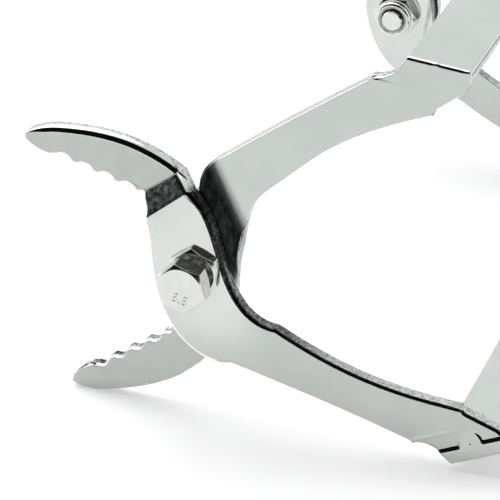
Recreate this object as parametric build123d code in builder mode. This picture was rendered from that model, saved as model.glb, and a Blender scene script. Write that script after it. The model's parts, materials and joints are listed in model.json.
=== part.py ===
"""Squeeze nutcracker of folded steel sheet: two U-shaped frames that cross at a front and a rear pivot bolt.

Each frame has a front leg, a strap that runs back and a rear leg. The front legs carry the toothed jaws,
and squeezing the two straps together closes the jaws. Lengths are in millimetres.
Row frame: X from the jaws to the straps, Y from the front pivot to the rear pivot, Z up from the table,
in the pose in which the open tool lies on its lower jaw and on the edge of its lower strap.
"""

import math
import os

from build123d import *

os.makedirs("parts", exist_ok=True)

# ---- driving dimensions ----
sheet = 3.0                  # thickness of the pressed sheet
leg_gap = 0.5                # space between the two legs at a pivot, filled by a thin washer
pivot_spacing = 143.5        # front pivot to rear pivot
lying_tilt = 9.64            # slope of the tool's axis when the open tool lies on the table
pivot_height = 37.14         # front pivot above the table
pivot_x = -14.37             # front pivot along X, which centres the box
pivot_y = -71.75             # front pivot along Y

tooth_count = 5
tooth_pitch = 5.0
notch_radius = 2.4
notch_depth = 0.95
tooth_tip_radius = 0.5
first_tooth = (-12.3, 15.9)  # tip of the tooth nearest the pivot, on the upper jaw
tooth_line_angle = 154.3     # direction of the tooth line, from the pivot outwards
lower_jaw_shift = 1.8        # the lower jaw stands this much further from the axis

jaw_set = 3.5                # depth of the step that brings the upper jaw in line with the lower one
jaw_set_run = 4.5
jaw_set_start = (-9.4, 11.6)
jaw_set_angle = 30.0
arm_set = 3.0                # depth of the step in the inner arms, one sheet thickness
arm_set_run = 2.6
arm_set_start = 8.0          # distance of that step from the pivot
arm_set_angle = -17.0        # direction in which the step leaves the pivot
arm_set_bend = 2.0           # inner radius of both bends of that step

fold_left = (50.1, -44.9)    # ends of the outer edge of the fold, on the lower arm
fold_right = (63.2, -41.3)
fold_outer_radius = 0.8
strap_shoulder = 3.0         # extra width of the strap towards the jaws, near its outer end
shoulder_start = 5.0
shoulder_end = 9.0
shoulder_length = 60.0
plain_boss_radius = 9.0      # round end of the two legs without a jaw

# Pivot hardware, M6
bolt_radius = 3.0
bolt_length = 20.0
bolt_chamfer = 0.6
across_flats = 10.0
corner_chamfer = 0.6         # height of the 30 degree chamfer on the hexagons' corners
head_height = 4.6
front_head_turn = 34.0       # angle of each hexagon about its pivot
rear_head_turn = 12.0
bare_thread = 3.05           # thread that shows between the bolt head and the jam nut
jam_nut_height = 3.2
front_jam_nut_turn = 26.0
rear_jam_nut_turn = 47.0
lock_nut_height = 6.0
lock_nut_turn = 10.0
collar_height = 1.6          # round end of the lock nut, crimped over its nylon ring
collar_radius = 4.5
collar_lip = 0.3
insert_mouth_radius = 3.5
insert_height = 1.8
insert_radius = 3.9
running_clearance = 0.06     # between a bolt and the frame that turns on it
washer_radius = 5.5
washer_clearance = 0.15      # between a washer's hole and its bolt
wear_washer = 0.4
thrust_washer = 0.5
washer_play = 0.1            # end play of the frame that turns

# ---- derived values ----
tilt = math.radians(lying_tilt)
tool_axis = Vector(math.cos(tilt), 0, math.sin(tilt))
front_pivot = Vector(pivot_x, pivot_y, pivot_height)
rear_pivot = front_pivot + Vector(0, pivot_spacing, 0)
# Each frame is drawn on the plane of its own outer pivot: local x along the axis, local y towards its jaw,
# local z outwards. The upper frame's outer leg is at the front, the lower frame's is at the rear.
front_plane = Plane(origin=front_pivot, x_dir=tool_axis, z_dir=(0, -1, 0))
rear_plane = Plane(origin=rear_pivot, x_dir=tool_axis, z_dir=(0, 1, 0))
outer_leg = leg_gap / 2                       # inner face of the outer boss
inner_leg = -pivot_spacing + leg_gap / 2      # inner face of the inner boss
outer_face = outer_leg + sheet                # outer face of the outer boss
head_seat = outer_face + jam_nut_height + bare_thread
lock_nut_seat = -(outer_face + washer_play + thrust_washer)    # low face of the thrust washer
lock_nut_end = lock_nut_seat - lock_nut_height
fold_angle = math.degrees(math.atan2(fold_right[1] - fold_left[1], fold_right[0] - fold_left[0]))
strap_width = math.dist(fold_left, fold_right)
arm_set_point = (arm_set_start * math.cos(math.radians(arm_set_angle)),
                 arm_set_start * math.sin(math.radians(arm_set_angle)))


def jaw_outline(shift, root_out):
    """Edge of a jaw from the boss out along the teeth, round the tip and back to root_out."""
    x0, y0 = first_tooth
    a = math.radians(tooth_line_angle)
    reach = tooth_pitch * (tooth_count - 1)
    last = (x0 + reach * math.cos(a), y0 + shift + reach * math.sin(a))
    Line((x0, y0 + shift), last)
    Spline(last, (-34.6, 26.2 + shift), (-36.2, 28.6 + shift), (-33.9, 30.0 + shift), (-27.4, 30.5 + shift),
           (-14.1, 27.9 + shift), root_out)


def arm_end(start_inner, next_inner, end_outer):
    """Edge of an arm from two points on its inner edge round the fold to a point on its outer edge."""
    Spline(start_inner, next_inner, (30.0, -23.9), (43.0, -29.1), (54.0, -31.8))
    Polyline((54.0, -31.8), (54.4, -32.8), (60.0, -35.9))
    a = math.radians(fold_angle)
    end_corner = (fold_right[0] - sheet * math.sin(a), fold_right[1] + sheet * math.cos(a))
    Spline((60.0, -35.9), (61.5, -36.9), end_corner)
    Polyline(end_corner, fold_right, fold_left)
    Spline(fold_left, (48.2, -42.6), (46.0, -41.0), (42.0, -40.5))
    Polyline((42.0, -40.5), (41.0, -39.7))
    Spline((41.0, -39.7), (25.0, -32.0), end_outer)


def upper_jaw_outline():
    """Profile of the leg that carries the upper jaw."""
    boss_top_left = (-9.9, 13.0)
    boss_top_right = (0.6, 17.9)
    jaw_outline(0, boss_top_right)
    Polyline(first_tooth, (-10.9, 16.1), (-10.7, 14.8), boss_top_left)
    Spline(boss_top_right, (5.0, 6.5), (6.6, -4.8), (10.6, -12.2), (15.2, -14.5))
    arm_end((15.2, -14.5), (20.5, -18.3), (3.6, -22.9))
    Spline((3.6, -22.9), (-1.2, -22.3), (-6.1, -18.6), (-10.7, -8.0), (-11.1, 0.0), boss_top_left)


def lower_jaw_outline():
    """Profile of the leg that carries the lower jaw, cut back where the upper jaw's step passes."""
    x0, y0 = first_tooth
    tooth = (x0, y0 + lower_jaw_shift)
    boss_top_left = (-9.5, 13.0)
    boss_top_right = (1.6, 18.4)
    jaw_outline(lower_jaw_shift, boss_top_right)
    Polyline(tooth, (-10.6, y0 + lower_jaw_shift), boss_top_left)
    Spline(boss_top_right, (5.6, 9.0), (8.0, -2.0), (10.8, -9.7), (15.6, -14.7))
    arm_end((15.6, -14.7), (20.5, -17.9), (6.8, -22.6))
    Spline((6.8, -22.6), (3.9, -20.8), (2.0, -18.0))
    Polyline((2.0, -18.0), (1.4, -16.3), (-5.5, -12.3))
    Spline((-5.5, -12.3), (-10.4, -4.0), (-11.0, 5.0), boss_top_left)


def plain_outline():
    """Profile of a leg without a jaw, which ends in a round boss."""
    boss_left = (-plain_boss_radius, 0)
    boss_right = (plain_boss_radius, 0)
    ThreePointArc(boss_left, (0, plain_boss_radius), boss_right)
    Spline(boss_right, (9.6, -4.6), (13.4, -11.0), (18.6, -15.0))
    arm_end((18.6, -15.0), (22.8, -18.6), (13.5, -22.9))
    Spline((13.5, -22.9), (2.0, -19.4), (-4.6, -14.8), (-8.0, -8.0), boss_left)


def teeth_notches(shift):
    """Scallops between the teeth."""
    a = math.radians(tooth_line_angle)
    x0, y0 = first_tooth
    out = notch_radius - notch_depth
    spots = []
    for i in range(tooth_count - 1):
        along = tooth_pitch * (i + 0.5)
        spots.append((x0 + along * math.cos(a) - out * math.sin(a),
                      y0 + shift + along * math.sin(a) + out * math.cos(a)))
    with Locations(*spots):
        Circle(notch_radius, mode=Mode.SUBTRACT)


def tooth_tips(sketch, shift):
    """Corners where the scallops meet the tooth line."""
    a = math.radians(tooth_line_angle)
    x0, y0 = first_tooth
    reach = tooth_pitch * (tooth_count - 1)
    tips = []
    for vertex in sketch.vertices():
        along = (vertex.X - x0) * math.cos(a) + (vertex.Y - y0 - shift) * math.sin(a)
        out = (vertex.Y - y0 - shift) * math.cos(a) - (vertex.X - x0) * math.sin(a)
        if abs(out) < 0.01 and 0.1 < along < reach - 0.1:
            tips.append(vertex)
    return tips


def at(plane, x, y, z=0.0):
    """Point given in a frame's own directions."""
    return plane.from_local_coords(Vector(x, y, z))


def step_section(plane, start, direction, low, run, rise, bend):
    """Cut a leg's blank to a sheet whose low face starts at height low and steps by rise over run.

    bend is the inner radius of the step's bends, or 0 for sharp ones.
    """
    a = math.radians(direction)
    across = plane.x_dir * math.cos(a) + plane.y_dir * math.sin(a)
    origin = plane.origin + plane.x_dir * start[0] + plane.y_dir * start[1]
    section = Plane(origin=origin, x_dir=across, z_dir=across.cross(plane.z_dir))
    lag = sheet * math.tan(math.atan2(abs(rise), run) / 2)
    low_lag, high_lag = (0, lag) if rise > 0 else (lag, 0)
    low_start = (-low_lag, low)
    low_end = (run - low_lag, low + rise)
    high_start = (-high_lag, low + sheet)
    high_end = (run - high_lag, low + rise + sheet)
    reach = 100
    with BuildSketch(section) as cut:
        with BuildLine():
            Polyline((-reach, low), low_start, low_end, (reach, low + rise), (reach, low + rise + sheet),
                     high_end, high_start, (-reach, low + sheet), close=True)
        make_face()
        if bend:
            first, second = (bend + sheet, bend) if rise > 0 else (bend, bend + sheet)
            bends = ((low_start, first), (low_end, second), (high_end, first), (high_start, second))
            for corner, radius in bends:
                fillet(cut.vertices().sort_by_distance(corner)[0:1], radius)
    extrude(cut.sketch, amount=reach, both=True, mode=Mode.INTERSECT)


def jaw_leg_blank(plane, outline, shift, low, high):
    """Toothed profile of a leg, as thick as all its steps together."""
    with BuildSketch(plane.offset(low)) as blank:
        with BuildLine():
            outline()
        make_face()
        teeth_notches(shift)
        fillet(tooth_tips(blank, shift), tooth_tip_radius)
    extrude(blank.sketch, amount=high - low)


def plain_leg_blank(plane, low, high):
    with BuildSketch(plane.offset(low)) as blank:
        with BuildLine():
            plain_outline()
        make_face()
    extrude(blank.sketch, amount=high - low)


def bolt_hole(plane, low, radius):
    with BuildSketch(plane.offset(low - sheet)) as hole:
        Circle(radius)
    extrude(hole.sketch, amount=3 * sheet, mode=Mode.SUBTRACT)


def strap(plane):
    """Flat strap between the outer faces of the outer leg and of the stepped inner arm."""
    a = math.radians(fold_angle)
    along = plane.x_dir * math.cos(a) + plane.y_dir * math.sin(a)
    inward = plane.y_dir * math.cos(a) - plane.x_dir * math.sin(a)
    top = -(outer_leg + sheet)
    bottom = -(inner_leg + arm_set)
    with BuildSketch(Plane(origin=at(plane, *fold_left), x_dir=along, z_dir=inward)) as band:
        with BuildLine():
            Polyline((0, bottom), (strap_width, bottom), (strap_width, top), (0, top),
                     (0, top + shoulder_start))
            Spline((0, top + shoulder_start), (-strap_shoulder, top + shoulder_end),
                   tangents=((0, 1), (0, 1)))
            Line((-strap_shoulder, top + shoulder_end), (-strap_shoulder, top + shoulder_length))
            Spline((-strap_shoulder, top + shoulder_length), (0, top + 1.5 * shoulder_length),
                   tangents=((0, 1), (0, 1)))
            Line((0, top + 1.5 * shoulder_length), (0, bottom))
        make_face()
    extrude(band.sketch, amount=sheet)


def round_folds(part, plane):
    """Round the outer edge of both folds."""
    middle = [(fold_left[i] + fold_right[i]) / 2 for i in (0, 1)]
    spots = [at(plane, *middle, outer_leg + sheet), at(plane, *middle, inner_leg + arm_set)]
    for spot in spots:
        fillet(part.edges().sort_by_distance(spot)[0:1], fold_outer_radius)


def hexagon(plane, low, height, turn):
    """Hexagonal head or nut with its corners chamfered at both ends."""
    with BuildSketch(plane.offset(low)) as flats:
        RegularPolygon(across_flats / 2, 6, major_radius=False, rotation=turn)
    extrude(flats.sketch, amount=height)
    corner = across_flats / math.sqrt(3)
    rim = corner - corner_chamfer / math.tan(math.radians(30))
    with BuildSketch(Plane(origin=at(plane, 0, 0, low), x_dir=plane.x_dir, z_dir=-plane.y_dir)) as turned:
        with BuildLine():
            Polyline((0, 0), (rim, 0), (corner, corner_chamfer), (corner, height - corner_chamfer),
                     (rim, height), (0, height), close=True)
        make_face()
    revolve(turned.sketch, axis=Axis(plane.origin, plane.z_dir), mode=Mode.INTERSECT)


def washer(plane, low, thickness):
    with BuildSketch(plane.offset(low)) as ring:
        Circle(washer_radius)
        Circle(bolt_radius + washer_clearance, mode=Mode.SUBTRACT)
    extrude(ring.sketch, amount=thickness)


# ---- upper jaw frame: outer at the front, inner at the rear ----
with BuildPart() as front_leg:
    jaw_leg_blank(front_plane, upper_jaw_outline, 0, outer_leg - jaw_set, outer_leg + sheet)
    step_section(front_plane, jaw_set_start, jaw_set_angle + 90, outer_leg, jaw_set_run, -jaw_set, 0)
with BuildPart() as rear_leg:
    plain_leg_blank(front_plane, inner_leg, inner_leg + arm_set + sheet)
    step_section(front_plane, arm_set_point, arm_set_angle, inner_leg, arm_set_run, arm_set, arm_set_bend)
with BuildPart() as upper_jaw_frame:
    add(front_leg.part)
    add(rear_leg.part)
    strap(front_plane)
    bolt_hole(front_plane, outer_leg, bolt_radius)
    bolt_hole(front_plane, inner_leg, bolt_radius + running_clearance)
    round_folds(upper_jaw_frame, front_plane)
upper_jaw_frame.part.label = "upper_jaw_frame"
export_step(upper_jaw_frame.part, "parts/upper_jaw_frame.step")

# ---- lower jaw frame: inner at the front, outer at the rear ----
with BuildPart() as near_leg:
    jaw_leg_blank(rear_plane, lower_jaw_outline, lower_jaw_shift, inner_leg, inner_leg + arm_set + sheet)
    step_section(rear_plane, arm_set_point, arm_set_angle, inner_leg, arm_set_run, arm_set, arm_set_bend)
with BuildPart() as far_leg:
    plain_leg_blank(rear_plane, outer_leg, outer_leg + sheet)
with BuildPart() as lower_jaw_frame:
    add(near_leg.part)
    add(far_leg.part)
    strap(rear_plane)
    bolt_hole(rear_plane, outer_leg, bolt_radius)
    bolt_hole(rear_plane, inner_leg, bolt_radius + running_clearance)
    round_folds(lower_jaw_frame, rear_plane)
lower_jaw_frame.part.label = "lower_jaw_frame"
export_step(lower_jaw_frame.part, "parts/lower_jaw_frame.step")

# ---- the two pivots, each with its bolt head outside ----
pivots = (("front", front_plane, front_head_turn, front_jam_nut_turn),
          ("rear", rear_plane, rear_head_turn, rear_jam_nut_turn))
for end, plane, head_turn, jam_nut_turn in pivots:
    with BuildPart() as pivot_bolt:
        hexagon(plane, head_seat, head_height, head_turn)
        with BuildSketch(plane.offset(head_seat - bolt_length)) as shank:
            Circle(bolt_radius)
        extrude(shank.sketch, amount=bolt_length)
        tip = at(plane, 0, 0, head_seat - bolt_length)
        chamfer(pivot_bolt.edges().filter_by(GeomType.CIRCLE).sort_by_distance(tip)[0:1], bolt_chamfer)
    pivot_bolt.part.label = end + "_pivot_bolt"
    export_step(pivot_bolt.part, "parts/" + end + "_pivot_bolt.step")

    with BuildPart() as jam_nut:
        hexagon(plane, outer_face, jam_nut_height, jam_nut_turn)
        bolt_hole(plane, outer_face, bolt_radius)
    jam_nut.part.label = end + "_jam_nut"
    export_step(jam_nut.part, "parts/" + end + "_jam_nut.step")

    with BuildPart() as washer_between:
        washer(plane, outer_leg - wear_washer, wear_washer)
    washer_between.part.label = end + "_wear_washer"
    export_step(washer_between.part, "parts/" + end + "_wear_washer.step")

    with BuildPart() as washer_behind:
        washer(plane, lock_nut_seat, thrust_washer)
    washer_behind.part.label = end + "_thrust_washer"
    export_step(washer_behind.part, "parts/" + end + "_thrust_washer.step")

    with BuildPart() as lock_nut:
        hexagon(plane, lock_nut_end + collar_height, lock_nut_height - collar_height, lock_nut_turn)
        with BuildSketch(plane.offset(lock_nut_end)) as collar:
            Circle(collar_radius)
        extrude(collar.sketch, amount=collar_height)
        with BuildSketch(plane.offset(lock_nut_end)) as bore:
            Circle(bolt_radius)
        extrude(bore.sketch, amount=lock_nut_height, mode=Mode.SUBTRACT)
        with BuildSketch(plane.offset(lock_nut_end)) as mouth:
            Circle(insert_mouth_radius)
        extrude(mouth.sketch, amount=collar_lip, mode=Mode.SUBTRACT)
        with BuildSketch(plane.offset(lock_nut_end + collar_lip)) as seat:
            Circle(insert_radius)
        extrude(seat.sketch, amount=insert_height, mode=Mode.SUBTRACT)
    lock_nut.part.label = end + "_lock_nut"
    export_step(lock_nut.part, "parts/" + end + "_lock_nut.step")

    with BuildPart() as lock_nut_insert:
        with BuildSketch(plane.offset(lock_nut_end + collar_lip)) as ring:
            Circle(insert_radius)
            Circle(bolt_radius, mode=Mode.SUBTRACT)
        extrude(ring.sketch, amount=insert_height)
    lock_nut_insert.part.label = end + "_lock_nut_insert"
    export_step(lock_nut_insert.part, "parts/" + end + "_lock_nut_insert.step")
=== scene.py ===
"""Looks for a squeeze nutcracker of folded, bright plated sheet steel with bolted pivots."""
import json
import math

import bmesh
import bpy
from mathutils import Matrix, Vector
from mathutils.kdtree import KDTree


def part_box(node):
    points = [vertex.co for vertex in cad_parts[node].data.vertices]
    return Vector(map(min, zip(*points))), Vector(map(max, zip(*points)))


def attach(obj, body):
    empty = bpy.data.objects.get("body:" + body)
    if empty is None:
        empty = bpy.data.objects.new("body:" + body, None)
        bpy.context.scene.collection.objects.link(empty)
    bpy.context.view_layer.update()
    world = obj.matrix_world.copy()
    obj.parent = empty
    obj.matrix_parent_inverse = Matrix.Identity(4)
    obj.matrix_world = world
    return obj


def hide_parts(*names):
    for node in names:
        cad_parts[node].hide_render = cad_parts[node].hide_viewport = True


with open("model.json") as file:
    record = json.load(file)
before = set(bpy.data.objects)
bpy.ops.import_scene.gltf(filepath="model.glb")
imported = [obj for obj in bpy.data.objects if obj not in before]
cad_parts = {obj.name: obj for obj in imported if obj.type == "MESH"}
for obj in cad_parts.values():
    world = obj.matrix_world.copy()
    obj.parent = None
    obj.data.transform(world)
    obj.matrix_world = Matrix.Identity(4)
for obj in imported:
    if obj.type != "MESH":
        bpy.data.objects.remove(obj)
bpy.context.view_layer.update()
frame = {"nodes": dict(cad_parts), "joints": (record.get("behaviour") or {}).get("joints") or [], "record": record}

MM = 0.001

# ---- sizes, in metres ----
SHEET = 3.0 * MM
# round that blanking leaves outside; the upper frame's is this large only along its jaw
ROLL_OVER = {"upper_jaw_frame": 1.55 * MM, "lower_jaw_frame": 0.35 * MM}
LOWER_RIM_STEEPNESS = 3.2      # the lower frame's outer edges are broken mostly down their walls
BOSS_ROUND = 0.95 * MM         # the roll-over gets smaller from the jaw to the boss
ARM_ROUND = 0.6 * MM           # and again along the arms
JAW_DIRECTION = math.radians(120)            # from the pivot, square to the jaw's step
JAW_ROOT = (10.5 * MM, 14 * MM)              # distances in that direction over which the boss becomes jaw
ARM_ROOT = (4 * MM, 14 * MM)                 # distances along the tool over which the boss becomes arm
# the toothed side's end of the jaw's step: less than this along the tool, between these heights across it
JAW_STEP_END = (-8 * MM, 9.5 * MM, 16 * MM)
HOLE_REACH = 4 * MM            # edges nearer the pivot than this belong to the bolt's hole
INNER_ROUND = 0.2 * MM         # burr side, inside the frame
STRAP_ROUND = 0.45 * MM
TOOTH_ROUND = 0.4 * MM
HOLE_ROUND = 0.2 * MM
ROUND_CHANGE = 0.35            # fastest change of a round along its edge
ROUND_STEPS = 6
SPREADING_PASSES = 60          # these spread a small round's influence along its edge
PROBE = 0.002 * MM             # width of the temporary rings that show a rim's inward direction
WIDEST_MITRE = 1.5             # how far a round may run into a corner of the outline
CREASE_ROUND = 0.3 * MM
SHARP_EDGE = math.radians(24)  # edges that turn by more than this are rounded
TOOTH_LINE_START = {"upper_jaw_frame": (-12.3 * MM, 15.9 * MM), "lower_jaw_frame": (-12.3 * MM, 17.7 * MM)}
TOOTH_LINE_ANGLE = math.radians(154.3)
TEETH_REACH = (-1.5 * MM, 27 * MM)
TOOTH_BAND = 2.6 * MM
ARM_STEP_ANGLE = math.radians(17)        # direction in which the inner arms step away from their boss
PAINTED_DARK_STEP = (3.5 * MM, 6 * MM, 9.3 * MM, 12.6 * MM)   # the step's painted dark reflection comes and goes over these
INNER_LEG_REACH = 71.7 * MM    # the inner legs lie nearer the middle than this
LIP_WIDTH = 2.3 * MM           # raised band along each fold
LIP_RISER = 1.4 * MM
HIGH_LIP = 0.7 * MM            # on the outer leg of each frame
LOW_LIP = 0.22 * MM            # on its inner leg
DART_RADIUS = 2.9 * MM         # pressed round at the middle of each fold
WEB_REACH = 1.2 * MM           # swellings at the middle and the ends of each fold
WEB_WIDTH = 0.55 * MM
WEB_DEPTH = 0.2 * MM
DOT_RADIUS = 0.45 * MM
DOT_DEPTH = 0.2 * MM
GRID = 0.25 * MM               # mesh spacing around the folds
FOLD_MARGIN = 1.5 * MM         # the fold's round reaches this far past the sheet's thickness
STRAP_MARGIN = 1 * MM          # edges within the sheet's thickness and this belong to the strap
ON_STRAP = 0.2 * MM            # flat faces within the sheet's thickness and this are the strap's own
SIDE_MARGIN = 5 * MM           # the mesh there is refined this far past the fold's ends
FACE_ZONE = SHEET * 0.45       # what lies nearer a leg's outer face than this is pressed with it
STRAP_SPAN = 60 * MM           # faces that reach nearer the middle than this belong to the strap
THREAD_RADIUS = 3.0 * MM
THREAD_PITCH = 1.0 * MM
THREAD_DEPTH = 0.58 * MM
THREAD_FLANK = 2.4             # steepness of the flanks: 2 gives a plain V
THREAD_ROOT = 0.12             # flat at the bottom of the groove
THREAD_CHAMFER = 0.7 * MM
THREAD_SINK = 0.2 * MM         # the threaded part runs this far into the head
BRIGHT_END = 0.3 * MM          # the thread's end face and this much of its side stay plated, without the painted shade
SEAT_MARGIN = 0.02 * MM        # the head's face against the washer lies within this of the thread's top
BORE_RADIUS = THREAD_RADIUS - 0.1 * MM
ACROSS_FLATS = 10.0 * MM
HEAD_HEIGHT = 4.6 * MM
HEXAGON_EDGE = 0.15 * MM       # round on the edges of the bolts and nuts
HEXAGON_FACE = 0.95            # the chamfered end face's share of the width across flats
HEXAGON_POINTS = 144
HEXAGON_TURNS = {"front": (34.0, 26.0), "rear": (12.0, 47.0)}   # degrees, of the bolt's head and the jam nut
LOCK_NUT_TURN = math.radians(10.0)
COLLAR_RADIUS = 4.5 * MM
COLLAR_HEIGHT = 1.6 * MM
COLLAR_CURVE = 0.8 * MM        # radius of the collar's crimped edge
# the collar's opening in mm, from the nylon ring's seat outwards: radius and depth below the crimped end
COLLAR_MOUTH = ((3.9, 2.2), (3.9, 0.35), (3.6, 0.3), (3.5, 0.1), (3.7, 0.0))
WASHER_BORE = 3.15 * MM
WASHER_RADIUS = 5.5 * MM
NYLON_BORE = 3.0 * MM
NYLON_RADIUS = 3.88 * MM
RING_POINTS = 96
STAMP_HEIGHT = 0.2 * MM
STAMP_SIZE = 3.0 * MM
STAMP_PLACE = (0.5 * MM, -2.2 * MM)          # on the bolt's head, along and across the tool
STAMP_TURN = math.radians(-24)
FLOOR_GLOW = 0.45              # light that comes up through the floor

# distances over which one look fades into another
SHEEN_AND_SOFT_SHINE = (9 * MM, 24 * MM)          # from the pivots: the boss's painted sheen and softer shine into the plain sheet
PAINTED_BLACK_RIM = (-5.5 * MM, -4 * MM)           # towards the inner corner: plain rim into a painted black reflection
PAST_PIVOT = (-0.5 * MM, 1.5 * MM)     # along the tool: the jaw's and the boss's rims into the arm's
JAW_FOOT = (11 * MM, 14 * MM)          # across the tool: the boss's rim with its painted highlight into the jaw's
ARM_WALL_START = (1 * MM, 4 * MM)      # along the tool: light walls into the arm root's
ARM_WALL_END = (15 * MM, 27 * MM)      # and back into light ones

# ---- what the CAD model says ----
RECORD = frame["record"]
MOUNTS = {m["name"]: m for m in RECORD["mounts"]}
JOINT = frame["joints"][0]
PIVOT = Vector(JOINT["pos_m"])
LOW_NORMAL = Vector(MOUNTS["lower_strap_face"]["axis"])
UP_NORMAL = Vector(MOUNTS["upper_strap_face"]["axis"])
TOOL_AXIS = (LOW_NORMAL + UP_NORMAL).normalized()
ACROSS = Vector((-TOOL_AXIS.z, 0, TOOL_AXIS.x))
INNER_CORNER = TOOL_AXIS * 0.6 + ACROSS * 0.8      # from the pivot towards the space between the arms
BODY_OF = {n: b for b, ns in RECORD["behaviour"]["bodies"].items() for n in ns}


# ---- materials ----
PLATE_COLOR = (0.52, 0.545, 0.53)
PLATE = [(0.3, (0.49, 0.515, 0.50)), (0.7, (0.53, 0.555, 0.54))]    # stops of its faint clouds


class Nodes:
    """A material's node tree, with short ways to add to it."""

    def __init__(self, name, color, metallic, roughness):
        self.material = bpy.data.materials.new(name)
        self.material.use_nodes = True
        self.tree = self.material.node_tree
        self.shader = self.tree.nodes["Principled BSDF"]
        self.shader.inputs["Base Color"].default_value = (*color, 1)
        self.shader.inputs["Metallic"].default_value = metallic
        self.shader.inputs["Roughness"].default_value = roughness
        self.place = self.tree.nodes.new("ShaderNodeTexCoord").outputs["Object"]

    def stretch(self, scale):
        node = self.tree.nodes.new("ShaderNodeMapping")
        node.inputs["Scale"].default_value = scale
        self.tree.links.new(self.place, node.inputs["Vector"])
        return node.outputs["Vector"]

    def noise(self, scale, detail=3.0, vector=None, rough=0.5):
        node = self.tree.nodes.new("ShaderNodeTexNoise")
        node.inputs["Scale"].default_value = scale
        node.inputs["Detail"].default_value = detail
        node.inputs["Roughness"].default_value = rough
        self.tree.links.new(vector or self.place, node.inputs["Vector"])
        return node.outputs["Fac"]

    def ramp(self, fac, stops):
        """stops: (position, grey or colour) pairs."""
        node = self.tree.nodes.new("ShaderNodeValToRGB")
        elements = node.color_ramp.elements
        while len(elements) < len(stops):
            elements.new(0.5)
        for element, (position, color) in zip(elements, stops):
            element.position = position
            element.color = (*color, 1) if hasattr(color, "__len__") else (color, color, color, 1)
        self.tree.links.new(fac, node.inputs["Fac"])
        return node.outputs["Color"]

    def bump(self, height, strength, distance, normal=None):
        node = self.tree.nodes.new("ShaderNodeBump")
        node.inputs["Strength"].default_value = strength
        node.inputs["Distance"].default_value = distance
        self.tree.links.new(height, node.inputs["Height"])
        if normal:
            self.tree.links.new(normal, node.inputs["Normal"])
        return node.outputs["Normal"]

    def vector_math(self, operation, vector, value=None):
        node = self.tree.nodes.new("ShaderNodeVectorMath")
        node.operation = operation
        self.tree.links.new(vector, node.inputs[0])
        if value is not None:
            node.inputs[1].default_value = value
        return node.outputs["Value" if operation in ("LENGTH", "DOT_PRODUCT") else "Vector"]

    def pivot_distance(self):
        """Distance from the line through both pivots."""
        offset = self.vector_math("SUBTRACT", self.place, PIVOT)
        return self.vector_math("LENGTH", self.vector_math("MULTIPLY", offset, (1, 0, 1)))

    def along(self, direction):
        """Distance from the pivots in one direction."""
        return self.vector_math("DOT_PRODUCT", self.vector_math("SUBTRACT", self.place, PIVOT), direction)

    def blend(self, value, span, far, near):
        """near below the span of values, far above it."""
        fade = self.tree.nodes.new("ShaderNodeMapRange")
        fade.interpolation_type = "SMOOTHSTEP"
        fade.inputs["From Min"].default_value = span[0]
        fade.inputs["From Max"].default_value = span[1]
        self.tree.links.new(value, fade.inputs["Value"])
        mix = self.tree.nodes.new("ShaderNodeMix")
        mix.data_type = "RGBA"
        self.tree.links.new(fade.outputs["Result"], mix.inputs["Factor"])
        self.tree.links.new(near, mix.inputs["A"])
        self.tree.links.new(far, mix.inputs["B"])
        return mix.outputs["Result"]

    def use(self, **sockets):
        names = {"color": "Base Color", "roughness": "Roughness", "normal": "Normal"}
        for key, output in sockets.items():
            self.tree.links.new(output, self.shader.inputs[names[key]])
        return self.material


def plated_face():
    """Bright plating over rolled sheet, with faint clouds and shallow waves: nearly a mirror.

    Around the pivots its colour is painted paler, as a painted sheen, and its shine is softer.
    """
    m = Nodes("plated_face", PLATE_COLOR, 1.0, 0.1)
    clouds = m.noise(95, 4)
    fine = m.noise(2600, 2)
    dull = m.ramp(clouds, PLATE)
    # painted sheen: round the pivots the colour is painted paler than the plain sheet
    bright = m.ramp(clouds, [(0.3, (0.64, 0.665, 0.65)), (0.7, (0.70, 0.725, 0.71))])
    color = m.blend(m.pivot_distance(), SHEEN_AND_SOFT_SHINE, dull, bright)
    grain = m.noise(420, 5, rough=0.6)
    crisp = m.ramp(grain, [(0.3, 0.07), (0.75, 0.13)])
    worn = m.ramp(grain, [(0.3, 0.26), (0.75, 0.36)])
    rough = m.blend(m.pivot_distance(), SHEEN_AND_SOFT_SHINE, crisp, worn)
    normal = m.bump(m.noise(60, 1.5), 0.15, 0.0004)
    normal = m.bump(fine, 0.03, 0.00004, normal)
    return m.use(color=color, roughness=rough, normal=normal)


def rolled_rim():
    """The rolled-over edge: a painted bright highlight round the boss, and a painted black reflection round the
    inner corner.
    """
    m = Nodes("rolled_rim", PLATE_COLOR, 1.0, 0.1)
    plate = m.ramp(m.noise(95, 4), PLATE)
    # painted black reflection on the rim towards the inner corner
    dark = m.ramp(m.noise(1300, 4, rough=0.65), [(0.45, (0.008, 0.009, 0.009)), (0.8, (0.09, 0.095, 0.092))])
    inner = m.blend(m.along(INNER_CORNER), PAINTED_BLACK_RIM, dark, plate)
    # painted highlight on the rim round the boss
    bright = m.ramp(m.noise(95, 4), [(0.3, (0.90, 0.925, 0.91)), (0.7, (0.93, 0.955, 0.94))])
    outer = m.blend(m.along(ACROSS), JAW_FOOT, plate, bright)
    color = m.blend(m.along(TOOL_AXIS), PAST_PIVOT, inner, outer)
    rough = m.ramp(m.noise(420, 5, rough=0.6), [(0.3, 0.05), (0.75, 0.1)])
    return m.use(color=color, roughness=rough, normal=m.bump(m.noise(1500, 3), 0.1, 0.00003))


def threaded_steel():
    """Thread and bearing faces: painted dark as the shade between the bolt's head and its jam nut, and a little
    rough.
    """
    m = Nodes("threaded_steel", (0.1, 0.102, 0.098), 1.0, 0.3)
    # painted shade: dark colour for the thread and the nuts' bearing faces
    color = m.ramp(m.noise(900, 4), [(0.4, (0.03, 0.031, 0.03)), (0.75, (0.22, 0.223, 0.217))])
    rough = m.ramp(m.noise(1400, 4, rough=0.6), [(0.3, 0.2), (0.75, 0.36)])
    return m.use(color=color, roughness=rough, normal=m.bump(m.noise(1600, 4), 0.25, 0.00004))


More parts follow.
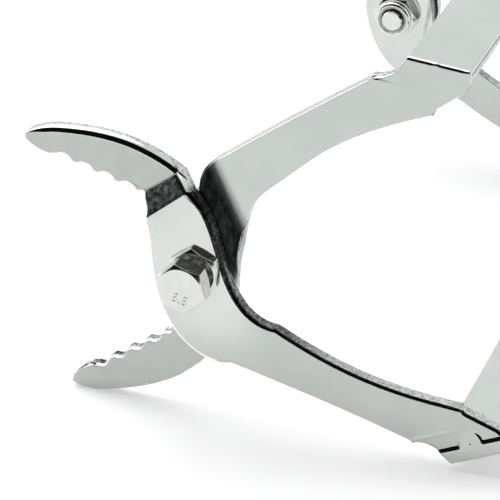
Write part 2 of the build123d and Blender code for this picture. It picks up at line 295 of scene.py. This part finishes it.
def stepped_plate(side):
    """The bright plate, with a painted dark reflection on the band where the inner arm steps down beside its boss.

    side is 1 or -1: the step leaves the pivot upwards or downwards.
    """
    m = Nodes("stepped_plate_up" if side > 0 else "stepped_plate_down", PLATE_COLOR, 1.0, 0.1)
    away = TOOL_AXIS * math.cos(ARM_STEP_ANGLE) + ACROSS * side * math.sin(ARM_STEP_ANGLE)
    reach = m.along(away)
    clouds = m.noise(95, 4)
    plate = m.ramp(clouds, PLATE)
    streaks = m.noise(900, 4, m.stretch((1, 1, 0.3)), 0.6)
    # painted dark reflection on the step, with streaks
    painted_dark_band = m.ramp(streaks, [(0.4, (0.012, 0.013, 0.013)), (0.8, (0.06, 0.063, 0.061))])
    arm = m.blend(reach, PAINTED_DARK_STEP[2:], plate, painted_dark_band)
    color = m.blend(reach, PAINTED_DARK_STEP[:2], arm, plate)
    shine = m.ramp(m.noise(420, 5, rough=0.6), [(0.3, 0.13), (0.75, 0.2)])
    dull = m.ramp(m.noise(700, 4), [(0.3, 0.36), (0.75, 0.5)])
    rough = m.blend(reach, PAINTED_DARK_STEP[2:], shine, dull)
    normal = m.bump(m.noise(60, 1.5), 0.15, 0.0004)
    return m.use(color=color, roughness=rough, normal=normal)


def painted_dark_step():
    """Plating on the jaw's step: streaked down the slope, and painted darker as shade on the slope."""
    m = Nodes("painted_dark_step", (0.4, 0.42, 0.41), 1.0, 0.25)
    streaks = m.noise(700, 4, m.stretch((1, 0.12, 1)), 0.6)
    # painted shade: the step's colour is kept well below the plate's
    color = m.ramp(streaks, [(0.35, (0.12, 0.126, 0.123)), (0.7, (0.42, 0.44, 0.43))])
    rough = m.ramp(m.noise(900, 3), [(0.3, 0.14), (0.7, 0.3)])
    return m.use(color=color, roughness=rough, normal=m.bump(streaks, 0.35, 0.0001))


# stops of (value, colour) for the specks on the sheared walls
GRAINY_SHEAR = [(0.36, (0.17, 0.178, 0.175)), (0.5, (0.46, 0.48, 0.47)), (0.7, (0.64, 0.66, 0.65))]
# darker specks, used where the upper frame's arms leave their bosses
DARK_ROOT_SHEAR = [(0.4, (0.03, 0.032, 0.031)), (0.56, (0.16, 0.168, 0.164)), (0.8, (0.55, 0.57, 0.56))]
CLEAN_SHEAR = [(0.32, (0.30, 0.315, 0.31)), (0.5, (0.48, 0.50, 0.49)), (0.8, (0.60, 0.62, 0.61))]


def sheared_edge(name, root_stops):
    """Plated shear: streaks across the sheet's thickness, specks and a duller shine.

    root_stops colours the specks where the arms leave their bosses; for the upper frame they are darker there.
    """
    m = Nodes(name, (0.5, 0.52, 0.51), 1.0, 0.3)
    streaks = m.noise(900, 5, m.stretch((1, 0.16, 1)), 0.65)
    specks = m.noise(1500, 4, rough=0.7)
    light = m.ramp(specks, GRAINY_SHEAR)
    root_specks = m.ramp(specks, root_stops)
    root = m.blend(m.along(TOOL_AXIS), ARM_WALL_START, root_specks, light)
    color = m.blend(m.along(TOOL_AXIS), ARM_WALL_END, light, root)
    rough = m.ramp(streaks, [(0.3, 0.2), (0.7, 0.42)])
    normal = m.bump(streaks, 0.3, 0.0001)
    normal = m.bump(specks, 0.25, 0.00005, normal)
    return m.use(color=color, roughness=rough, normal=normal)


def notched_edge():
    """The walls of the teeth: plated over a coarse shear, with dark patches painted between bright ones as painted
    reflections and highlights.
    """
    m = Nodes("notched_edge", (0.4, 0.42, 0.41), 1.0, 0.2)
    patches = m.noise(560, 3, m.stretch((1, 0.45, 1)), 0.6)
    # painted reflections: near-black and near-white patches along the teeth
    color = m.ramp(patches, [(0.46, (0.02, 0.021, 0.021)), (0.54, (0.2, 0.21, 0.205)),
                             (0.66, (0.8, 0.82, 0.81))])
    rough = m.ramp(m.noise(900, 4), [(0.3, 0.12), (0.7, 0.26)])
    return m.use(color=color, roughness=rough, normal=m.bump(patches, 0.5, 0.00025))


def bolt_plate():
    """Zinc plating over forged steel: bright, slightly warm and grainy."""
    m = Nodes("bolt_plate", (0.68, 0.69, 0.66), 1.0, 0.2)
    color = m.ramp(m.noise(500, 4), [(0.3, (0.66, 0.67, 0.635)), (0.7, (0.71, 0.72, 0.69))])
    rough = m.ramp(m.noise(1100, 5, rough=0.6), [(0.3, 0.14), (0.75, 0.27)])
    normal = m.bump(m.noise(900, 4), 0.22, 0.00006)
    return m.use(color=color, roughness=rough, normal=normal)


def washer_steel():
    """Plain washers: grey and finely grained."""
    m = Nodes("washer_steel", (0.55, 0.56, 0.555), 1.0, 0.3)
    color = m.ramp(m.noise(700, 4), [(0.3, (0.48, 0.49, 0.485)), (0.7, (0.58, 0.59, 0.58))])
    rough = m.ramp(m.noise(1600, 4), [(0.3, 0.24), (0.7, 0.38)])
    return m.use(color=color, roughness=rough, normal=m.bump(m.noise(2400, 3), 0.25, 0.00004))


def nylon():
    """The lock nuts' pale rings."""
    m = Nodes("nylon", (0.78, 0.80, 0.76), 0.0, 0.45)
    color = m.ramp(m.noise(800, 3), [(0.3, (0.72, 0.74, 0.70)), (0.7, (0.82, 0.84, 0.80))])
    rough = m.ramp(m.noise(1500, 3), [(0.3, 0.38), (0.7, 0.55)])
    return m.use(color=color, roughness=rough, normal=m.bump(m.noise(1800, 3), 0.2, 0.00005))


FACE, STEP, RIM, NOTCH = plated_face(), painted_dark_step(), rolled_rim(), notched_edge()
SHEAR = {"upper_jaw_frame": sheared_edge("dark_root_edge", DARK_ROOT_SHEAR),
         "lower_jaw_frame": sheared_edge("clean_edge", CLEAN_SHEAR)}
STEPPED = {"upper_jaw_frame": stepped_plate(-1), "lower_jaw_frame": stepped_plate(1)}
BOLT, THREAD, WASHER, NYLON = bolt_plate(), threaded_steel(), washer_steel(), nylon()


# ---- shared mesh steps ----
def new_piece(bm, name, materials):
    mesh = bpy.data.meshes.new(name)
    bm.to_mesh(mesh)
    bm.free()
    for face in mesh.polygons:
        face.use_smooth = True
    for material in materials:
        mesh.materials.append(material)
    obj = bpy.data.objects.new(name, mesh)
    bpy.context.scene.collection.objects.link(obj)
    return obj


def applied(obj):
    """Makes the modifiers part of the mesh."""
    depsgraph = bpy.context.evaluated_depsgraph_get()
    mesh = bpy.data.meshes.new_from_object(obj.evaluated_get(depsgraph))
    obj.modifiers.clear()
    obj.data = mesh
    return obj


def round_edges(obj, width):
    """Rounds the sharp edges of a small turned or forged piece and keeps its flats flat."""
    bevel = obj.modifiers.new("round", "BEVEL")
    bevel.width = width
    bevel.segments = 2
    bevel.limit_method = "ANGLE"
    bevel.angle_limit = SHARP_EDGE
    bevel.harden_normals = True
    return applied(obj)


def ease_creases(obj):
    """Rounds the folds and corners that carry a weight."""
    bevel = obj.modifiers.new("creases", "BEVEL")
    bevel.width = CREASE_ROUND
    bevel.segments = 3
    bevel.limit_method = "WEIGHT"
    bevel.use_clamp_overlap = False
    return applied(obj)


def flatten_normals(obj):
    """Lets the large faces set the shading, so that flats stay flat."""
    obj.modifiers.new("normals", "WEIGHTED_NORMAL")
    return applied(obj)


def place(obj, node):
    """The piece stands for a CAD node and moves with its body."""
    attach(obj, BODY_OF[node])
    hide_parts(node)
    return obj


# ---- the two pressed frames ----
FACE_SLOT, SHEAR_SLOT, STEP_SLOT, STEPPED_SLOT, RIM_SLOT, NOTCH_SLOT = range(6)


def sheet_materials(node):
    """The materials of a frame, in the order of the slots above."""
    return [FACE, SHEAR[node], STEP, STEPPED[node], RIM, NOTCH]


def smooth_step(value, low, high):
    t = min(1.0, max(0.0, (value - low) / (high - low)))
    return t * t * (3 - 2 * t)


def cut(bm, faces, point, normal):
    """Adds an edge loop where a plane crosses these faces, and returns the faces again."""
    bm.verts.index_update()
    bm.edges.index_update()
    edges = sorted({e for f in faces for e in f.edges}, key=lambda e: e.index)
    geom = list(faces) + edges + sorted({v for f in faces for v in f.verts}, key=lambda v: v.index)
    found = bmesh.ops.bisect_plane(bm, geom=geom, dist=1e-7, plane_co=point, plane_no=normal)
    return [g for g in found["geom"] if isinstance(g, bmesh.types.BMFace)]


def tool_place(point):
    """A point's distances from the pivot along the tool and upwards across it."""
    offset = point - PIVOT
    return offset.dot(TOOL_AXIS), offset.dot(ACROSS)


def among_teeth(point, node):
    x, z = tool_place(point)
    x0, z0 = TOOTH_LINE_START[node]
    if node == "lower_jaw_frame":
        z = -z
    along = (x - x0) * math.cos(TOOTH_LINE_ANGLE) + (z - z0) * math.sin(TOOTH_LINE_ANGLE)
    out = (z - z0) * math.cos(TOOTH_LINE_ANGLE) - (x - x0) * math.sin(TOOTH_LINE_ANGLE)
    return TEETH_REACH[0] < along < TEETH_REACH[1] and abs(out) < TOOTH_BAND


def rim_round(place, normal, point, node):
    """Radius of the round at one place on the outer rim of a frame."""
    x, z = tool_place(place)
    if math.hypot(x, z) < HOLE_REACH:
        return HOLE_ROUND
    if among_teeth(place, node) or (x < JAW_STEP_END[0] and JAW_STEP_END[1] < z < JAW_STEP_END[2]):
        return min(TOOTH_ROUND, ROLL_OVER[node])
    if (point - place).dot(normal) < SHEET + STRAP_MARGIN:
        return min(STRAP_ROUND, ROLL_OVER[node])
    jaw = smooth_step(x * math.cos(JAW_DIRECTION) + z * math.sin(JAW_DIRECTION), *JAW_ROOT)
    arm = smooth_step(x, *ARM_ROOT)
    size = ROLL_OVER[node] * jaw + min(BOSS_ROUND, ROLL_OVER[node]) * (1 - jaw)
    return size * (1 - arm) + min(ARM_ROUND, size) * arm


def side_of(face, normal, point):
    """1 for a face on the outside of the folded sheet, -1 for one on its inside, 0 for a sheared wall."""
    along = Vector((0, 1, 0)).cross(normal)
    middle = face.calc_center_median()
    out = face.normal.y * math.copysign(1, middle.y)
    up = face.normal.dot(normal)
    if min(abs(v.co.y) for v in face.verts) < STRAP_SPAN:
        return 1 if up > 0.9 else -1 if up < -0.9 else 0
    around_fold = depth_of(face, point, normal) < SHEET + FOLD_MARGIN and abs(face.normal.dot(along)) < 0.05
    if around_fold and out * up > 0.001:
        return 1 if up > 0 else -1
    return 1 if out > 0.5 else -1 if out < -0.5 else 0


def round_rim(bm, faces, radius_of, steepness=1.0, slot=None):
    """Rolls the border of a patch of the sheet over in an arc that ends on its walls.

    steepness is how much further the arc runs down the wall than across the face, and slot is the
    material slot of the rolled strip.
    """
    patch = set(faces)
    bm.verts.index_update()
    bm.edges.index_update()
    border = [e for e in bm.edges if sum(f in patch for f in e.link_faces) == 1]
    rim = sorted({v for e in border for v in e.verts}, key=lambda v: v.index)
    radius = {v: radius_of(v.co) for v in rim}
    for _ in range(SPREADING_PASSES):
        for e in border:
            a, b = e.verts
            slack = ROUND_CHANGE * e.calc_length()
            radius[a] = min(radius[a], radius[b] + slack)
            radius[b] = min(radius[b], radius[a] + slack)
    start = [v.co.copy() for v in rim]
    drop = [sum((f.normal for f in v.link_faces if f in patch), Vector()).normalized() for v in rim]
    size = [radius[v] for v in rim]
    nearest = KDTree(len(rim))
    for i, place in enumerate(start):
        nearest.insert(place, i)
    nearest.balance()
    strips = []
    for _ in range(ROUND_STEPS):
        made = bmesh.ops.inset_region(bm, faces=faces, thickness=PROBE, use_boundary=True,
                                      use_even_offset=True)
        strips += made["faces"]
    groups = [[] for _ in rim]
    bm.verts.index_update()
    for v in sorted({v for f in strips for v in f.verts}, key=lambda v: v.index):
        _, i, away = nearest.find(v.co)
        groups[i].append((away, v))
    for i, group in enumerate(groups):
        group.sort(key=lambda pair: pair[0])
        if len(group) != ROUND_STEPS + 1:
            continue
        inward = (group[-1][1].co - start[i]) / (PROBE * ROUND_STEPS)
        inward *= min(1.0, WIDEST_MITRE / inward.length)
        for k, (_, v) in enumerate(group):
            turn = math.pi / 2 * k / ROUND_STEPS
            fall = size[i] * steepness * (1 - math.sin(turn))
            v.co = start[i] + inward * size[i] * (1 - math.cos(turn)) - drop[i] * fall
    if slot is not None:
        for face in strips:
            face.material_index = slot


def press_fold(bm, point, normal, side, level, height):
    """Presses the raised lip, the round dart and its centre mark into a leg beside its fold.

    Small swellings at the fold itself mark its middle and its ends.
    point and normal give the strap's outer plane, side is -1 or 1 along Y, level is the face's Y.
    """
    along = Vector((0, 1, 0)).cross(normal)
    reach = LIP_WIDTH + LIP_RISER + 2 * DART_RADIUS

    def depth(v):
        return (point - v.co).dot(normal)

    def near_face(v):
        return abs(v.co.y - level) < FACE_ZONE

    faces = [f for f in bm.faces
             if all(near_face(v) for v in f.verts) and min(depth(v) for v in f.verts) < reach]
    corners = [v for f in faces for v in f.verts if depth(v) < SHEET]
    places = [(v.co - point).dot(along) for v in corners]
    low, high = min(places), max(places)
    middle = (low + high) / 2
    for i in range(int(reach / GRID) + 1):
        faces = cut(bm, faces, point - normal * (i * GRID), normal)
    near = [f for f in faces if depth_of(f, point, normal) < reach]
    for i in range(int((high - low) / GRID) + round(2 * SIDE_MARGIN / GRID)):
        near = cut(bm, near, point + along * (low - SIDE_MARGIN + i * GRID), along)
    centre = LIP_WIDTH + 0.55 * DART_RADIUS
    half = (high - low) / 2 - WEB_REACH * 0.6
    for v in {v for f in near for v in f.verts}:
        below = depth(v)
        aside = (v.co - point).dot(along) - middle
        past_lip = min(1.0, max(0.0, (below - LIP_WIDTH) / LIP_RISER))
        riser = math.sqrt(1 - past_lip * past_lip)
        ramp = 1 - smooth_step(below, LIP_WIDTH - 0.6 * MM, LIP_WIDTH + 1.8 * DART_RADIUS)
        radius = math.hypot(below - centre, aside)
        inside = 1 - smooth_step(radius, DART_RADIUS * 0.8, DART_RADIUS)
        lip = height * (riser + (ramp - riser) * inside)
        lip -= DOT_DEPTH * (1 - smooth_step(radius, 0, DOT_RADIUS))
        corner = max(0.0, 1 - below / WEB_REACH) * max(0.0, 1 - abs(v.co.y - level) / WEB_REACH)
        web = sum(math.exp(-((aside - spot) / WEB_WIDTH) ** 2) for spot in (-half, 0, half))
        thick = max(0.0, 1 - abs(v.co.y - level) / FACE_ZONE)
        v.co += (normal + Vector((0, side, 0))) * WEB_DEPTH * corner * web
        v.co.y += side * lip * smooth_step(thick, 0, 0.6)


def depth_of(face, point, normal):
    return (point - face.calc_center_median()).dot(normal)


def pressed_frame(node, mount):
    """A frame with rolled-over edges, sheared walls and pressed folds."""
    point = Vector(MOUNTS[mount]["pos_m"])
    normal = Vector(MOUNTS[mount]["axis"])
    upper = node == "upper_jaw_frame"
    bm = bmesh.new()
    bm.from_mesh(frame["nodes"][node].data)
    bmesh.ops.remove_doubles(bm, verts=bm.verts, dist=1e-6)
    bmesh.ops.dissolve_limit(bm, angle_limit=math.radians(0.4), verts=bm.verts, edges=bm.edges)
    bm.normal_update()
    for face in bm.faces:
        on_strap = abs(face.normal.dot(normal)) > 0.995 and depth_of(face, point, normal) < SHEET + ON_STRAP
        sloping = 0.5 < abs(face.normal.y) < 0.98
        pressed = abs(face.normal.y) > 0.5 or on_strap
        middle = face.calc_center_median()
        inner_leg = face.normal.y * middle.y > 0.3 * abs(middle.y) and abs(middle.y) < INNER_LEG_REACH
        if sloping and tool_place(middle)[0] < 0:
            face.material_index = STEP_SLOT
        elif inner_leg and not on_strap:
            face.material_index = STEPPED_SLOT
        elif not pressed and among_teeth(middle, node):
            face.material_index = NOTCH_SLOT
        else:
            face.material_index = FACE_SLOT if pressed else SHEAR_SLOT
    strap = [v.co.y for v in bm.verts if (point - v.co).dot(normal) < SHEET]
    weight = bm.edges.layers.float.new("bevel_weight_edge")
    for edge in bm.edges:
        sides = {abs(side_of(f, normal, point)) for f in edge.link_faces}
        if len(sides) == 1 and edge.calc_face_angle(0) > SHARP_EDGE:
            edge[weight] = 1
    sheet = new_piece(bm, node + "_blank", sheet_materials(node))
    ease_creases(sheet)
    bm = bmesh.new()
    bm.from_mesh(sheet.data)
    bpy.data.objects.remove(sheet)
    bm.normal_update()
    outside = [f for f in bm.faces if side_of(f, normal, point) > 0]
    inside = [f for f in bm.faces if side_of(f, normal, point) < 0]
    steepness, rim_slot = (1.0, RIM_SLOT) if upper else (LOWER_RIM_STEEPNESS, None)
    round_rim(bm, outside, lambda place: rim_round(place, normal, point, node), steepness, rim_slot)
    round_rim(bm, inside, lambda place: INNER_ROUND)
    bm.normal_update()
    front_lip, rear_lip = (HIGH_LIP, LOW_LIP) if upper else (LOW_LIP, HIGH_LIP)
    press_fold(bm, point, normal, -1, min(strap), front_lip)
    press_fold(bm, point, normal, 1, max(strap), rear_lip)
    obj = new_piece(bm, node + "_sheet", sheet_materials(node))
    flatten_normals(obj)
    return place(obj, node)


# ---- bolts, nuts and washers ----
def pivot_matrix(end):
    """Local x along the tool, local z out of the front or the rear of the tool."""
    y = -1 if end == "front" else 1
    out = Vector((0, y, 0))
    side = out.cross(TOOL_AXIS)
    origin = PIVOT.copy()
    if end == "rear":
        origin.y = -PIVOT.y
    matrix = Matrix((TOOL_AXIS, side, out)).transposed().to_4x4()
    matrix.translation = origin
    return matrix


def rings(bm, loops, capped=True):
    """Skins closed loops of points, and caps the ends where asked."""
    rows = [[bm.verts.new(p) for p in loop] for loop in loops]
    for a, b in zip(rows, rows[1:]):
        for i in range(len(a)):
            j = (i + 1) % len(a)
            bm.faces.new((a[i], a[j], b[j], b[i]))
    if capped:
        bm.faces.new(list(reversed(rows[0])))
        bm.faces.new(rows[-1])
    return rows


def hexagon_radius(angle, turn):
    """Distance from the axis to a hexagon's side."""
    sector = math.pi / 3
    a = (angle - turn + sector / 2) % sector - sector / 2
    return ACROSS_FLATS / 2 / math.cos(sector / 2 - abs(a))


def circle(radius, z, count, start=0.0):
    angles = [start + 2 * math.pi * i / count for i in range(count)]
    return [(radius * math.cos(a), radius * math.sin(a), z) for a in angles]


def hexagon_loops(turn, low, high, bore):
    """Loops of a chamfered hexagon from its lower to its upper face. bore is 0 for a solid head."""
    rim = ACROSS_FLATS / 2 * HEXAGON_FACE
    angles = [turn + 2 * math.pi * i / HEXAGON_POINTS for i in range(HEXAGON_POINTS)]
    radii = [hexagon_radius(a, turn) for a in angles]
    drop = math.tan(math.radians(30))

    def loop(radius_of, z_of):
        return [(radius_of(r) * math.cos(a), radius_of(r) * math.sin(a), z_of(r))
                for a, r in zip(angles, radii)]

    loops = [loop(lambda r: rim, lambda r: low), loop(lambda r: r, lambda r: low + (r - rim) * drop),
             loop(lambda r: r, lambda r: high - (r - rim) * drop), loop(lambda r: rim, lambda r: high)]
    if bore:
        inner = loop(lambda r: bore, lambda r: low)
        top = loop(lambda r: bore, lambda r: high)
        loops = [inner] + loops + [top]
    return loops


def bored(bm, loops):
    """Closes a ring: the last loop joins the first."""
    rows = rings(bm, loops, capped=False)
    for i in range(len(rows[0])):
        j = (i + 1) % len(rows[0])
        bm.faces.new((rows[-1][i], rows[-1][j], rows[0][j], rows[0][i]))


def thread_loops(low, high):
    """Loops of a 60 degree helical thread between two heights, tapered at its lower end."""
    per_turn = 72
    per_pitch = 14
    count = int(round((high - low) / THREAD_PITCH * per_pitch))
    loops = []
    for k in range(count + 1):
        z = low + (high - low) * k / count
        row = []
        for i in range(per_turn):
            a = 2 * math.pi * i / per_turn
            phase = (z / THREAD_PITCH + i / per_turn) % 1
            tooth = min(1.0, max(0.0, THREAD_FLANK * abs(phase - 0.5) - THREAD_ROOT))
            radius = THREAD_RADIUS - THREAD_DEPTH * (1 - tooth)
            radius = min(radius, THREAD_RADIUS - THREAD_CHAMFER + (z - low))
            row.append((radius * math.cos(a), radius * math.sin(a), z))
        loops.append(row)
    return loops


def finish_fastener(bm, name, node, end, edge, material, dark=None):
    """dark, if given, picks the faces that get the threaded steel's look, a painted shade, before the piece is
    placed.
    """
    bmesh.ops.recalc_face_normals(bm, faces=bm.faces)
    bm.normal_update()
    for face in bm.faces:
        face.material_index = 1 if dark and dark(face) else 0
    bm.transform(pivot_matrix(end))
    obj = new_piece(bm, name, [material, THREAD] if dark else [material])
    round_edges(obj, edge)
    obj.visible_glossy = False      # keeps mirror images of the fasteners out of the plating around them
    return place(obj, node)


def local_span(node, end):
    """A node's lowest and highest place along its pivot, outwards from the middle of the pivot."""
    low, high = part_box(node)
    if end == "front":
        return PIVOT.y - high.y, PIVOT.y - low.y
    return low.y + PIVOT.y, high.y + PIVOT.y


def pivot_bolt(end, turn):
    node = end + "_pivot_bolt"
    low, high = local_span(node, end)
    seat = high - HEAD_HEIGHT
    bm = bmesh.new()
    rings(bm, hexagon_loops(turn, seat, high - STAMP_HEIGHT, 0))
    rings(bm, thread_loops(low, seat + THREAD_SINK))
    # the thread between its tip and the head gets the painted shade
    obj = finish_fastener(bm, node + "_threaded", node, end, HEXAGON_EDGE, BOLT,
                          lambda face: low + BRIGHT_END < face.calc_center_median().z < seat + SEAT_MARGIN)
    stamp = grade_mark(end, high)
    stamp.parent = obj
    return obj


def grade_mark(end, level):
    """Strength grade, raised on the bolt's head."""
    text = bpy.data.curves.new(end + "_grade_text", "FONT")
    text.body = "8.8"
    text.size = STAMP_SIZE
    text.align_x = "CENTER"
    text.align_y = "CENTER"
    text.extrude = STAMP_HEIGHT * 0.4
    text.bevel_depth = STAMP_HEIGHT * 0.5
    text.bevel_resolution = 2
    text.offset = -STAMP_HEIGHT * 0.4
    holder = bpy.data.objects.new(end + "_grade_text", text)
    bpy.context.scene.collection.objects.link(holder)
    depsgraph = bpy.context.evaluated_depsgraph_get()
    mesh = bpy.data.meshes.new_from_object(holder.evaluated_get(depsgraph))
    bpy.data.objects.remove(holder)
    mesh.materials.clear()
    mesh.materials.append(BOLT)
    turned = Matrix.Rotation(STAMP_TURN, 4, "Z")
    shift = Matrix.Translation((*STAMP_PLACE, level - STAMP_HEIGHT))
    mesh.transform(pivot_matrix(end) @ turned @ shift)
    obj = bpy.data.objects.new(end + "_grade_mark", mesh)
    bpy.context.scene.collection.objects.link(obj)
    return obj


def jam_nut(end, turn):
    node = end + "_jam_nut"
    low, high = local_span(node, end)
    bm = bmesh.new()
    bored(bm, hexagon_loops(turn, low, high, BORE_RADIUS))
    # the nut's flat end faces get the painted shade
    return finish_fastener(bm, node + "_chamfered", node, end, HEXAGON_EDGE, BOLT,
                           lambda face: abs(face.normal.z) > 0.99)


def lock_nut(end, turn):
    """Hexagon with a round collar crimped over its nylon ring."""
    node = end + "_lock_nut"
    low, high = local_span(node, end)
    hexagon = hexagon_loops(turn, low + COLLAR_HEIGHT, high, BORE_RADIUS)

    def ring(radius, z):
        return circle(radius, z, HEXAGON_POINTS, turn)

    collar = [ring(radius * MM, low + depth * MM) for radius, depth in COLLAR_MOUTH]
    for k in range(1, ROUND_STEPS + 1):
        a = math.pi / 2 * k / ROUND_STEPS
        radius = COLLAR_RADIUS - COLLAR_CURVE * (1 - math.sin(a))
        collar.append(ring(radius, low + COLLAR_CURVE * (1 - math.cos(a))))
    seat = ring(BORE_RADIUS, low + COLLAR_MOUTH[0][1] * MM)
    loops = [seat] + collar + [ring(COLLAR_RADIUS, low + COLLAR_HEIGHT)]
    bm = bmesh.new()
    bored(bm, loops + hexagon[1:])
    return finish_fastener(bm, node + "_crimped", node, end, HEXAGON_EDGE, BOLT)


def ring_piece(node, end, name, inner, outer, edge, material):
    """Washer or nylon ring with eased edges."""
    low, high = local_span(node, end)
    bm = bmesh.new()
    profile = ((inner, low), (outer, low), (outer, high), (inner, high))
    bored(bm, [circle(radius, z, RING_POINTS) for radius, z in profile])
    return finish_fastener(bm, name, node, end, edge, material)


# ---- stage ----
def studio():
    """Pale floor and a light tent: brightest overhead and at the left, dark where it is open at the front."""
    floor_mesh = bpy.data.meshes.new("floor")
    size = 6.0                 # half the floor's side
    corners = [(-size, -size, 0), (size, -size, 0), (size, size, 0), (-size, size, 0)]
    floor_mesh.from_pydata(corners, [], [(0, 1, 2, 3)])
    floor = bpy.data.objects.new("floor", floor_mesh)
    bpy.context.scene.collection.objects.link(floor)
    paint = Nodes("floor_paint", (0.51, 0.51, 0.51), 0.0, 0.9)
    paint.use(color=paint.ramp(paint.noise(3, 2), [(0.3, 0.50), (0.7, 0.52)]))
    paint.shader.inputs["Emission Color"].default_value = (1, 1, 1, 1)
    paint.shader.inputs["Emission Strength"].default_value = FLOOR_GLOW
    floor_mesh.materials.append(paint.material)

    world = bpy.data.worlds.new("tent")
    bpy.context.scene.world = world
    world.use_nodes = True
    tree = world.node_tree
    background = tree.nodes["Background"]
    direction = tree.nodes.new("ShaderNodeTexCoord").outputs["Generated"]

    def lobe(towards, start, end, low, high):
        """Brightness that runs from low to high as the direction turns towards a vector."""
        dot = tree.nodes.new("ShaderNodeVectorMath")
        dot.operation = "DOT_PRODUCT"
        dot.inputs[1].default_value = Vector(towards).normalized()
        tree.links.new(direction, dot.inputs[0])
        fade = tree.nodes.new("ShaderNodeMapRange")
        fade.interpolation_type = "SMOOTHSTEP"
        for name, value in zip(("From Min", "From Max", "To Min", "To Max"), (start, end, low, high)):
            fade.inputs[name].default_value = value
        tree.links.new(dot.outputs["Value"], fade.inputs["Value"])
        return fade.outputs["Result"]

    def join(operation, a, b):
        node = tree.nodes.new("ShaderNodeMath")
        node.operation = operation
        tree.links.new(a, node.inputs[0])
        tree.links.new(b, node.inputs[1])
        return node.outputs["Value"]

    opening = lobe((0, -1, 0), 0.13, 0.27, 0.0, 0.995)
    overhead = lobe((-0.37, 0.37, 0.85), 0.86, 0.93, 1.15, 3.5)
    left = lobe((-0.80, 0.0, 0.60), 0.84, 0.93, 0.0, 2.2)
    light = join("ADD", overhead, left)
    tree.links.new(join("SUBTRACT", light, join("MULTIPLY", light, opening)), background.inputs["Strength"])
    background.inputs["Color"].default_value = (0.985, 1.0, 0.99, 1)


def camera():
    """Long lens from the front, a little to the right and above."""
    azimuth = math.radians(19.46)
    elevation = math.radians(28.29)
    roll = math.radians(0.63)
    distance = 620 * MM        # from the front pivot
    shift_right = 9.86 * MM    # of the eye, so that the pivot lies left of the middle and a little below it
    shift_up = 2.21 * MM
    back = Vector((math.sin(azimuth) * math.cos(elevation), -math.cos(azimuth) * math.cos(elevation),
                   math.sin(elevation)))
    level = Vector((math.cos(azimuth), math.sin(azimuth), 0))
    upright = back.cross(level)
    right = level * math.cos(roll) + upright * math.sin(roll)
    up = upright * math.cos(roll) - level * math.sin(roll)
    eye = bpy.data.cameras.new("camera")
    eye.angle = math.radians(9.7068)
    eye.clip_start = 0.01
    obj = bpy.data.objects.new("camera", eye)
    matrix = Matrix((right, up, back)).transposed().to_4x4()
    matrix.translation = PIVOT + back * distance + right * shift_right + up * shift_up
    obj.matrix_world = matrix
    bpy.context.scene.collection.objects.link(obj)
    bpy.context.scene.camera = obj


camera()
studio()
bpy.context.scene.view_settings.view_transform = "Standard"
pressed_frame("upper_jaw_frame", "lower_strap_face")
pressed_frame("lower_jaw_frame", "upper_strap_face")
for end, (head_turn, jam_nut_turn) in HEXAGON_TURNS.items():
    pivot_bolt(end, math.radians(head_turn))
    jam_nut(end, math.radians(jam_nut_turn))
    lock_nut(end, LOCK_NUT_TURN)
    for washer, edge in (("_wear_washer", 0.06 * MM), ("_thrust_washer", 0.08 * MM)):
        ring_piece(end + washer, end, end + washer + "_ring", WASHER_BORE, WASHER_RADIUS, edge, WASHER)
    ring_piece(end + "_lock_nut_insert", end, end + "_nylon_ring", NYLON_BORE, NYLON_RADIUS, 0.1 * MM, NYLON)
